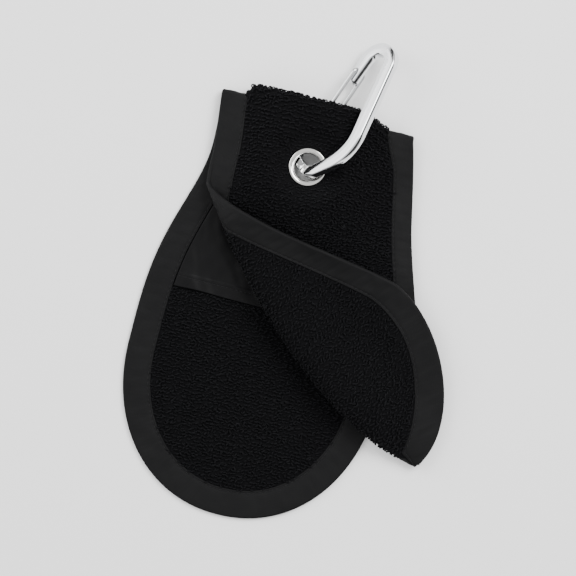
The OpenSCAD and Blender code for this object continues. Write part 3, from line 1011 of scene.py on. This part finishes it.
@dataclass
class Binding:
    """The woven tape folded round the whole cut edge, and the seam that holds it."""

    leaves: Leaves
    upper: UpperLeaf
    finish: TapeFinish = field(default_factory=TapeFinish)
    thread_finish: ThreadFinish = field(default_factory=ThreadFinish)
    half: float = 1.2
    cloth: float = 0.42
    seam_in: float = 1.4
    stitch: float = 3.0
    thread: float = 0.2
    across: int = 13

    def surface(self) -> Array:
        """The tape's middle surface: rows along the edge, each from the cut edge inwards.

        It starts at the flap's tip, goes up the flap's edge and the neck's left side, over the fold
        and round the lower leaf, then over the fold again and down the right side to the tip.
        """
        n, u = self.leaves, np.linspace(0, 1, self.across)[None]
        v = np.concatenate([
            np.linspace(n.tip_share, n.neck_share + 0.003, 190),
            np.linspace(n.neck_share, 0, 34),
        ])
        frame = self.upper.rows(v)
        left = self.upper.at(frame, self.upper.left_tape(frame)[:, None] * u)
        frame = self.upper.rows(v[::-1])
        width = self.upper.right_tape(frame)[:, None] * u
        right = self.upper.at(frame, frame["length"][:, None] - width)
        angle = np.radians(np.linspace(72, -72, 9))
        folds = [self.fold(side, a, u) for side, a in ((-1, angle), (1, angle[::-1]))]
        y = np.linspace(n.widest_y + 1.5, n.fold_y, 90)
        turn = np.radians(np.linspace(0, 90, 66))
        low = np.stack([n.widest_y - (n.round_end - inset) * np.cos(turn) for inset in (0, n.tape)])
        ends = np.stack([
            np.stack([n.half_width(low[0]), low[0]], -1),
            np.stack([n.half_width(low[1], n.tape), low[1]], -1),
        ])
        sides = np.stack([np.stack([n.half_width(y, inset), y], -1) for inset in (0, n.tape)])
        half = np.concatenate([ends, sides], 1)
        flat = mix(half[0][:, None], half[1][:, None], u[..., None])
        mirrored = flat[:0:-1] * np.array([-1, 1])
        flat = np.concatenate([mirrored, flat])
        back = np.concatenate([flat, n.back(flat[..., 0], flat[..., 1])[..., None]], -1)
        return np.concatenate([left, folds[0], back, folds[1], right])

    def fold(self, side: int, angle: Array, u: Array) -> Array:
        """The tape's rows round the fold at the waist, on the left (-1) or the right (1)."""
        n = self.leaves
        x = side * (n.half_width(np.array([n.fold_y]))[:, None] - n.tape * u) + 0 * angle[:, None]
        radius = n.gap(x, n.fold_y) / 2
        rise = n.middle(x, n.fold_y) + radius * np.sin(angle)[:, None]
        return np.stack([x, n.fold_y + radius * np.cos(angle)[:, None], rise], -1)

    def even(self, surface: Array, step: float) -> tuple[Array, Array]:
        """The surface's rows at an even step along its seam line, with their distances along it."""
        line = surface[:, -2]
        passed = travelled(line)
        stops = np.linspace(0, passed[-1], int(passed[-1] / step))
        flat = surface.reshape(len(surface), -1)
        rows = np.stack([np.interp(stops, passed, flat[:, i]) for i in range(flat.shape[1])], -1)
        return rows.reshape(len(stops), *surface.shape[1:]), stops

    def profile(self) -> Array:
        """The folded tape's section as a closed line of (distance in from the edge, height) pairs.

        Its outer line runs in over one face, and its inner line, a cloth's thickness less, back.
        """
        bend = np.radians(np.linspace(-90, 90, 11))
        width, r, seam = self.leaves.tape, self.half, self.leaves.tape - self.seam_in
        face = np.array([width, seam + 0.5, seam, seam - 0.6, seam - 1.6, 10.0, 7.0, 4.0, 2.2])
        crown = 0.10 * np.exp(-(((face - 5.5) / 3) ** 2))
        dip = 0.38 * np.exp(-(((face - seam) / 0.55) ** 2)) - crown
        lower = np.stack([face, -(r - dip)], -1)
        upper = lower[::-1] * np.array([1, -1])
        outer_bend = np.stack([r - r * np.cos(bend), r * np.sin(bend)], -1)
        q = r - self.cloth
        inner_bend = np.stack([r - q * np.cos(bend[::-1]), q * np.sin(bend[::-1])], -1)
        inner_face = np.array([4.0, 9.0, seam - 1.0, seam, seam + 0.5, width])
        inner_dip = 0.34 * np.exp(-(((inner_face - seam) / 0.55) ** 2))
        inner_low = np.stack([inner_face, -(q - inner_dip)], -1)
        inner_up = inner_low[::-1] * np.array([1, -1])
        return np.concatenate([lower, outer_bend, upper, inner_up, inner_bend, inner_low])

    def make_tape(self, surface: Array, along: Array) -> bpy.types.Object:
        """The folded tape as one closed tube of that section, slightly puckered by its seam."""
        profile = self.profile()
        normal = grid_normals(surface)
        place = np.clip(profile[:, 0] / self.leaves.tape, 0, 1) * (self.across - 1)
        low = np.minimum(place.astype(int), self.across - 2)
        share = (place - low)[None, :, None]
        centre = mix(surface[:, low], surface[:, low + 1], share)
        up = unit(mix(normal[:, low], normal[:, low + 1], share))
        stitch = 0.5 + 0.5 * np.cos(2 * math.pi * along / self.stitch)
        by_seam = np.exp(-(((profile[:, 0] - self.leaves.tape + self.seam_in) / 1.8) ** 2))
        height = profile[None, :, 1] * (1 - 0.16 * stitch[:, None] * by_seam[None])
        spots = np.stack([along[:, None] + 0 * height, profile[None, :, 0] + 0 * height], -1)
        pucker = 0.16 * waves(spots, 7.0, 5) + 0.10 * waves(spots, 3.4, 6)
        share_in = np.clip(profile[None, :, 0] / self.leaves.tape, 0, 1)
        height = height * (1 + pucker * np.sin(math.pi * share_in))
        ring = centre + up * height[..., None]
        rings, sides = ring.shape[:2]
        vertices = np.concatenate([ring.reshape(-1, 3), ring[[0, -1]].mean(1)])
        piece = new_piece("binding_tape", vertices, bar_faces(rings, sides))
        wide = (rings, sides)
        round_it = np.broadcast_to(travelled(profile), wide)
        uv = np.stack([np.broadcast_to(along[:, None], wide), round_it], -1)
        put_uv(piece, np.concatenate([uv.reshape(-1, 2), [[0, 0], [0, 0]]]))
        dress(piece, self.finish.material(), "towel")
        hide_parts("edge_binding")
        return piece

    def make_seam(
        self, surface: Array, along: Array, side: int, name: str, node: str
    ) -> bpy.types.Object:
        """One face's row of stitches: short thread humps, each dipping into the tape at its ends.

        Args:
            surface: The tape's middle surface at an even step.
            along: Distances along it.
            side: 1 for the outside face, -1 for the inside one.
            name: The piece's name.
            node: The CAD node it replaces.

        Returns:
            One object with all the stitches.
        """
        normal = grid_normals(surface)
        share = (1 - self.seam_in / self.leaves.tape) * (self.across - 1)
        low = int(share)
        line = mix(surface[:, low], surface[:, low + 1], share - low)
        up = unit(mix(normal[:, low], normal[:, low + 1], share - low)) * side
        starts = np.arange(0.6, along[-1] - self.stitch, self.stitch)
        t = np.linspace(0, 1, 7)
        place = starts[:, None] + t[None] * (self.stitch - 0.45)
        centre = np.stack([np.interp(place, along, line[:, i]) for i in range(3)], -1)
        raised = unit(np.stack([np.interp(place, along, up[:, i]) for i in range(3)], -1))
        hump = 0.62 + 0.42 * np.sin(math.pi * t) ** 0.6
        path = centre + raised * hump[None, :, None]
        tangent = unit(np.gradient(path, axis=1))
        out = np.cross(tangent, raised)
        fullness = np.array([0.75, 1, 1.05, 1.05, 1.05, 1, 0.75])
        radius = (self.thread * fullness)[None, :, None, None]
        beside = np.cross(out, tangent)
        vertices, faces = stitches(path, out[:, :, None], beside[:, :, None], radius)
        piece = new_piece(name, vertices, faces)
        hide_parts(node)
        return piece

    def make(self) -> list[bpy.types.Object]:
        """Builds the tape and both rows of stitches, and dresses them."""
        surface, along = self.even(self.surface(), 1.0)
        tape = self.make_tape(surface, along)
        thread = self.thread_finish.material()
        seams = [
            self.make_seam(surface, along, -1, "seam_inside", "binding_seam_inner"),
            self.make_seam(surface, along, 1, "seam_outside", "binding_seam_outer"),
        ]
        for piece in seams:
            dress(piece, thread, "towel")
        return [tape, *seams]


@dataclass
class Lining:
    """The smooth panel inside the neck, laid on the lower leaf, with a hem at its lower edge."""

    leaves: Leaves
    finish: SatinFinish = field(default_factory=SatinFinish)
    thread_finish: ThreadFinish = field(default_factory=ThreadFinish)
    end_y: float = 48.0
    top_y: float = 150.0
    thick: float = 0.36
    hem: float = 7.0
    stitch: float = 2.6
    thread: float = 0.17
    thread_lift: float = 0.22
    thread_hump: float = 0.3

    def height(self, x: Array, y: Array) -> Array:
        """Height of the panel's middle: the stack's, with slack waves where it is uncovered."""
        slack = smooth((112 - y) / 25)
        points = np.stack([x, y * 0.6], -1)
        ripple = 0.32 * waves(points, 16, 21) + 0.16 * waves(points, 6.5, 22)
        sewn = smooth((self.leaves.half_width(y, self.leaves.tape) - np.abs(x)) / 5)
        return self.leaves.middle(x, y) + slack * sewn * ripple

    def make_panel(self) -> bpy.types.Object:
        """The panel: one closed sheet, thicker over its hem, with the eyelet's hole in it."""
        n = self.leaves
        y = np.concatenate([
            np.linspace(self.end_y, self.end_y + self.hem + 2, 26),
            np.linspace(self.end_y + self.hem + 2.8, self.top_y, 110),
        ])
        half = n.half_width(y, n.tape) - 0.4
        x = half[:, None] * np.linspace(-1, 1, 120)[None]
        wander = 0.35 * waves(np.stack([x, 0 * x], -1), 30, 23)
        yy = np.broadcast_to(y[:, None], x.shape) + wander
        mid = np.stack([x, yy, self.height(x, yy)], -1)
        from_hem = yy - self.end_y
        double = 1 - smooth((from_hem - self.hem) / 0.8)
        seam = 0.45 * np.exp(-(((from_hem - self.hem + 1.6) / 0.5) ** 2))
        thick = self.thick * (1 + 0.9 * double - seam)
        vertices, faces = grid_solid(mid, thick / 2, n.pierced(mid))
        piece = new_piece("lining_satin_panel", vertices, faces)
        dress(piece, self.finish.material(), "towel")
        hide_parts("lining_panel")
        return piece

    def make_stitches(self) -> bpy.types.Object:
        """The hem's row of stitches, short humps of thread along X."""
        n = self.leaves
        y = self.end_y + self.hem - 1.6
        reach = float(n.half_width(np.array([y]), n.tape)[0]) - 1.5
        x = np.arange(-reach, reach, self.stitch)
        t = np.linspace(0, 1, 6)
        px = x[:, None] + t[None] * (self.stitch - 0.5)
        py = np.full_like(px, y)
        hump = self.thread_lift + self.thread_hump * np.sin(math.pi * t)[None]
        path = np.stack([px, py, self.height(px, py) + hump], -1)
        along_y, up = np.array([0.0, 1.0, 0.0]), np.array([0.0, 0.0, 1.0])
        vertices, faces = stitches(path, along_y, up, self.thread)
        piece = new_piece("lining_hem_stitches", vertices, faces)
        dress(piece, self.thread_finish.material(), "towel")
        return piece

    def make(self) -> list[bpy.types.Object]:
        """Builds the panel and its hem's stitches."""
        return [self.make_panel(), self.make_stitches()]


@dataclass
class Eyelet:
    """The two-part eyelet: a tube with a rolled front flange, set over a washer behind."""

    leaves: Leaves
    finish: PlatedFinish = field(default_factory=lambda: PlatedFinish(
        "nickel_plated_brass_eyelet", "#cfcecb", 0.06, 0.14, 1.1))
    hole: float = 7.2
    crown: float = 9.5
    flange: float = 10.25
    sheet: float = 0.92
    dish: float = 2.2
    lip: float = 8.3
    under: tuple = ((7.9, -0.9), (8.05, -0.25), (8.6, 0.02), (10.0, 0.02))
    ring: tuple = (
        (8.0, 0), (8.0, -0.6), (8.4, -0.84), (9.4, -0.9), (9.95, -0.75), (10.25, -0.4),
        (10.1, -0.05), (9.8, 0.0),
    )
    sides: int = 128

    def lathe(self, name: str, profile: Array) -> bpy.types.Object:
        """A closed ring: a section of (radius, height) pairs turned round the eyelet's axis."""
        turn = np.linspace(0, 2 * math.pi, self.sides, endpoint=False)[:, None]
        cx, cy, cz = self.leaves.eyelet
        ring = np.stack([
            cx + profile[None, :, 0] * np.cos(turn),
            cy + profile[None, :, 0] * np.sin(turn),
            cz + profile[None, :, 1] + 0 * turn,
        ], -1)
        faces = tube_faces(self.sides, len(profile), closed=True)
        return new_piece(name, ring.reshape(-1, 3), faces)

    def make(self) -> list[bpy.types.Object]:
        """Builds the barrel with its rolled flange and clenched rear lip, and the washer."""
        n = self.leaves
        stack = n.pinch_gap / 2 + n.pinch_share * n.terry / 2 + 0.06
        quarter, half = np.radians(np.linspace(0, 90, 12)), np.radians(np.linspace(180, 360, 13))
        rise, back = np.sin(quarter), half[::-1]
        rim = np.stack([
            self.crown + (self.flange - self.crown) * np.cos(quarter),
            stack + 0.08 + (self.sheet - 0.08) * rise,
        ], -1)
        funnel = np.stack([
            self.crown - (self.crown - self.hole) * rise,
            stack + self.sheet - self.dish * (1 - np.cos(quarter)),
        ], -1)[1:]
        lip = np.stack([self.lip + 1.1 * np.cos(half), -stack - 0.95 + 0.6 * np.sin(half)], -1)
        inner = np.stack([self.lip + 0.4 * np.cos(back), -stack - 0.93 + 0.2 * np.sin(back)], -1)
        under = np.array([[self.under[0][0], -2 * stack], *self.under]) + np.array([0, stack])
        barrel = np.concatenate([rim, funnel, lip, inner, under])
        ring = np.array(self.ring) + np.array([0, -stack])
        pieces = [
            self.lathe("eyelet_barrel_plated", barrel),
            self.lathe("eyelet_washer_plated", ring),
        ]
        material = self.finish.material()
        for piece, node in zip(pieces, ("eyelet_barrel", "eyelet_washer")):
            dress(piece, material, "towel")
            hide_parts(node)
        return pieces


# --------------------------------------------------------------------------------------------
# The clip
# --------------------------------------------------------------------------------------------


@dataclass
class Clip:
    """The clip: its bent bar and its wire gate.

    Its own plane has its first number towards the spine and its second towards the hinge, and the
    third is across it. Corner points are (first, second, bend radius).
    """

    leaves: Leaves
    body_finish: PlatedFinish = field(default_factory=lambda: PlatedFinish(
        "chrome_plated_zinc_casting", "#e2e3e5", 0.05, 0.13, 2.2))
    wire_finish: PlatedFinish = field(default_factory=lambda: PlatedFinish(
        "drawn_stainless_spring_wire", "#c8c9ca", 0.16, 0.28, 0.5))
    tilt: float = 45.0
    turn: float = 20.0
    bar: tuple[float, float] = (7.0, 5.0)
    wire: float = 2.4
    corner_points: tuple = (
        (3.2, 13.5, 0), (2.2, 38.5, 8.5), (18.4, 37.2, 8.5), (32.4, -20.6, 24),
        (14.6, -40.4, 7.4), (-0.6, -35.7, 3.4), (-0.3, -25, 0),
    )
    hinge: tuple[float, float] = (3.2, 21.0)
    loop: tuple[float, float] = (2.4, -22.3)
    crossing: tuple[float, float] = (11.2, -37.4)
    edge_round: float = 1.0
    end_share: float = 0.62
    end_cap: float = 1.9
    tongue: float = 22.0
    nose: float = 42.0
    nose_thin: float = 0.9
    wire_bend: float = 1.6

    def place(self, local: Array) -> Array:
        """Turns points of the clip's plane into the part's frame, its bar through the eyelet."""
        a, b = math.radians(self.tilt), math.radians(self.turn)
        spine = np.array([math.cos(b) * math.cos(a), -math.sin(b) * math.cos(a), math.sin(a)])
        hinge = np.array([math.sin(b), math.cos(b), 0.0])
        across = np.cross(spine, hinge)
        origin = np.array(self.leaves.eyelet) - self.crossing[0] * spine - self.crossing[1] * hinge
        return origin + local[..., :1] * spine + local[..., 1:2] * hinge + local[..., 2:] * across

    def centre_line(self, step: float) -> tuple[Array, Array]:
        """The bar's centre line: straight runs and arcs at an even step, with its distances."""
        corners = np.array(self.corner_points, float)
        line = [corners[:1, :2]]
        for before, here, after in zip(corners[:-2], corners[1:-1], corners[2:]):
            u, v = unit(before[:2] - here[:2]), unit(after[:2] - here[:2])
            half = math.acos(float(u @ v)) / 2
            middle = here[:2] + unit(u + v) * here[2] / math.sin(half)
            reach = here[2] / math.tan(half)
            p, q = here[:2] + u * reach - middle, here[:2] + v * reach - middle
            full = math.pi - 2 * half
            t = np.linspace(0, 1, 40)[:, None]
            arc = (p * np.sin(full * (1 - t)) + q * np.sin(full * t)) / math.sin(full)
            line.append(middle + arc)
        line = np.concatenate([*line, corners[-1:, :2]])
        passed = travelled(line)
        stops = np.linspace(0, passed[-1], int(passed[-1] / step))
        return np.stack([np.interp(stops, passed, line[:, i]) for i in range(2)], -1), stops

    def section(self, half_w: Array, half_t: Array) -> Array:
        """Rounded rectangles, one for each ring: straight flats joined by quarter circles."""
        turn = np.radians(np.concatenate([np.linspace(c, c + 90, 7) for c in (0, 90, 180, 270)]))
        signs = np.repeat([[1, 1], [-1, 1], [-1, -1], [1, -1]], 7, axis=0)
        r = np.minimum(self.edge_round, 0.86 * np.minimum(half_w, half_t))[:, None]
        x = signs[:, 0] * (half_w[:, None] - r) + r * np.cos(turn)
        y = signs[:, 1] * (half_t[:, None] - r) + r * np.sin(turn)
        return np.stack([x, y], -1)

    def make_body(self) -> bpy.types.Object:
        """The cast body: its bar tapers to a tongue at the hinge and to a slimmer nose."""
        line, along = self.centre_line(0.45)
        left = along[-1] - along
        tongue = mix(self.end_share, 1, smooth(along / self.tongue))
        nose = mix(self.end_share, 1, smooth(left / self.nose))
        near_end = np.minimum(along, left) / self.end_cap
        cap = np.where(near_end < 1, np.sqrt(np.maximum(0.04, 1 - (1 - near_end) ** 2)), 1)
        half_w = self.bar[0] / 2 * (tongue * nose) * cap
        half_t = self.bar[1] / 2 * mix(self.nose_thin, 1, smooth(left / self.nose)) * cap
        path = np.concatenate([line, 0 * line[:, :1]], -1)
        tangent = np.gradient(path, axis=0)
        across = np.stack([tangent[:, 1], -tangent[:, 0], 0 * tangent[:, 0]], -1)
        vertices, faces = swept(path, across, self.section(half_w, half_t))
        return new_piece("clip_body_plated", self.place(vertices), faces)

    def leg(self, side: int) -> Array:
        """One leg of the gate's wire, from its pin to a quarter turn short of the loop's middle."""
        hinge, loop = np.array(self.hinge), np.array(self.loop)
        run = unit(loop - hinge)
        reach, bend = self.bar[1] / 2 + self.wire / 2 + 0.35, self.wire_bend
        turn = np.radians(np.linspace(0, 90, 10))
        end = turn[1:-1]
        length = float(np.linalg.norm(loop - hinge))
        runs = np.concatenate([
            np.zeros(3),
            bend * (1 - np.cos(turn)),
            np.linspace(bend, length - reach, 30)[1:],
            length - reach + reach * np.sin(end),
        ])
        out = np.concatenate([
            np.linspace(0.4, reach - bend, 4)[:-1],
            reach - bend + bend * np.sin(turn),
            np.full(29, reach),
            reach * np.cos(end),
        ])
        return np.concatenate([hinge + runs[:, None] * run, side * out[:, None]], -1)

    def make_gate(self) -> bpy.types.Object:
        """The gate: one round wire down one side, round its loop at the nose and up the other."""
        middle = np.array([[*self.loop, 0.0]])
        path = np.concatenate([self.leg(1), middle, self.leg(-1)[::-1]])
        turn = np.radians(np.arange(20) * 18)
        round_section = np.stack([np.cos(turn), np.sin(turn)], -1) * self.wire / 2
        sections = np.broadcast_to(round_section, (len(path), 20, 2))
        vertices, faces = swept(path, np.tile([1.0, 0.03, 0.0], (len(path), 1)), sections)
        return new_piece("clip_gate_wire", self.place(vertices), faces)

    def make(self) -> list[bpy.types.Object]:
        """Builds the body and the gate, and dresses them."""
        body, gate = self.make_body(), self.make_gate()
        rows = (
            (body, "clip_body", "clip", "clip_metal", self.body_finish),
            (gate, "clip_gate", "gate", "gate_wire", self.wire_finish),
        )
        for piece, node, rides, slot, finish in rows:
            dress(piece, finish.material(), rides)
            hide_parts(node)
        return [body, gate]


# --------------------------------------------------------------------------------------------
# The studio
# --------------------------------------------------------------------------------------------


@dataclass(frozen=True)
class Softbox:
    """A square area light: its place and side in metres, and its power in watts."""

    name: str
    place: tuple[float, float, float]
    side: float
    power: float


@dataclass(frozen=True)
class Studio:
    """A pale floor, soft lights and a camera that looks straight down, turned a little."""

    aim: tuple[float, float] = (7.2, 61.4)
    field_mm: float = 311.0
    distance_mm: float = 1000.0
    roll_deg: float = 14.2
    sensor_mm: float = 36.0
    floor_half_mm: float = 6000.0
    ceiling: float = 1.3
    softboxes: tuple[Softbox, ...] = (
        Softbox("key_soft", (0.55, 0.75, 1.05), 0.7, 20.0),
        Softbox("fill_left", (-0.95, 0.35, 0.8), 0.9, 9.0),
        Softbox("low_left", (-1.15, 0.48, 0.2), 0.7, 4.5),
    )

    def camera(self) -> None:
        """Sets the camera over the towel, with its picture's right turned roll_deg from X."""
        data = bpy.data.cameras.new("camera")
        data.sensor_width = self.sensor_mm
        data.lens = self.sensor_mm * self.distance_mm / self.field_mm
        camera = bpy.data.objects.new("camera", data)
        camera.location = (self.aim[0] * MM, self.aim[1] * MM, (self.distance_mm + 5) * MM)
        camera.rotation_euler = (0, 0, math.radians(self.roll_deg))
        bpy.context.scene.collection.objects.link(camera)
        bpy.context.scene.camera = camera

    def light(self, box: Softbox) -> None:
        """Adds a softbox that points at the towel's middle."""
        data = bpy.data.lights.new(box.name, "AREA")
        data.size, data.energy = box.side, box.power
        lamp = bpy.data.objects.new(box.name, data)
        lamp.location = box.place
        aim = np.array([self.aim[0] * MM, self.aim[1] * MM, 0.0]) - np.array(box.place)
        yaw = math.atan2(aim[1], aim[0]) - math.pi / 2
        pitch = math.atan2(math.hypot(aim[0], aim[1]), -aim[2])
        lamp.rotation_euler = (pitch, 0, yaw)
        bpy.context.scene.collection.objects.link(lamp)

    def surroundings(self) -> None:
        """A white ceiling over darker walls, so that metal has something dark to reflect."""
        world = bpy.data.worlds.new("white_ceiling_grey_walls")
        world.use_nodes = True
        sky = NodeTree(world.node_tree)
        place = sky.add("ShaderNodeTexCoord")
        split = sky.add("ShaderNodeSeparateXYZ", {0: place.outputs["Generated"]})
        ramp = sky.add("ShaderNodeMapRange", {"Value": split.outputs["Z"]},
                       {"From Min": 0.1, "From Max": 0.6, "To Min": 0.03, "To Max": 1.0},
                       interpolation_type="SMOOTHSTEP")
        background = sky.tree.nodes["Background"]
        background.inputs["Strength"].default_value = self.ceiling
        sky.tree.links.new(ramp.outputs["Result"], background.inputs["Color"])
        bpy.context.scene.world = world

    def make(self) -> None:
        """Builds the floor, the lights, the pale surroundings and the camera."""
        h = self.floor_half_mm
        corners = np.array([[-h, -h, 0.0], [h, -h, 0.0], [h, h, 0.0], [-h, h, 0.0]])
        floor = new_piece("floor", corners, np.array([[0, 1, 2, 3]]), flat=True)
        paper = Surface("matt_white_paper")
        paper.set(Base_Color=linear("#fbfbfb"), Roughness=0.9)
        floor.data.materials.append(paper.material)
        for box in self.softboxes:
            self.light(box)
        self.surroundings()
        self.camera()


def main() -> None:
    """Builds the studio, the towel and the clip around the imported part, in that order."""
    logging.basicConfig(level=logging.INFO, format="%(name)s: %(message)s")
    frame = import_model()
    LOG.info("packed part: %d nodes", len(frame["nodes"]))
    Studio().make()
    leaves = Leaves()
    upper = UpperLeaf(leaves)
    makers = (
        Terry(leaves, upper), Binding(leaves, upper), Lining(leaves), Eyelet(leaves), Clip(leaves),
    )
    for maker in makers:
        for piece in maker.make():
            LOG.info("%s: %d faces", piece.name, len(piece.data.polygons))


if __name__ == "__main__":
    main()
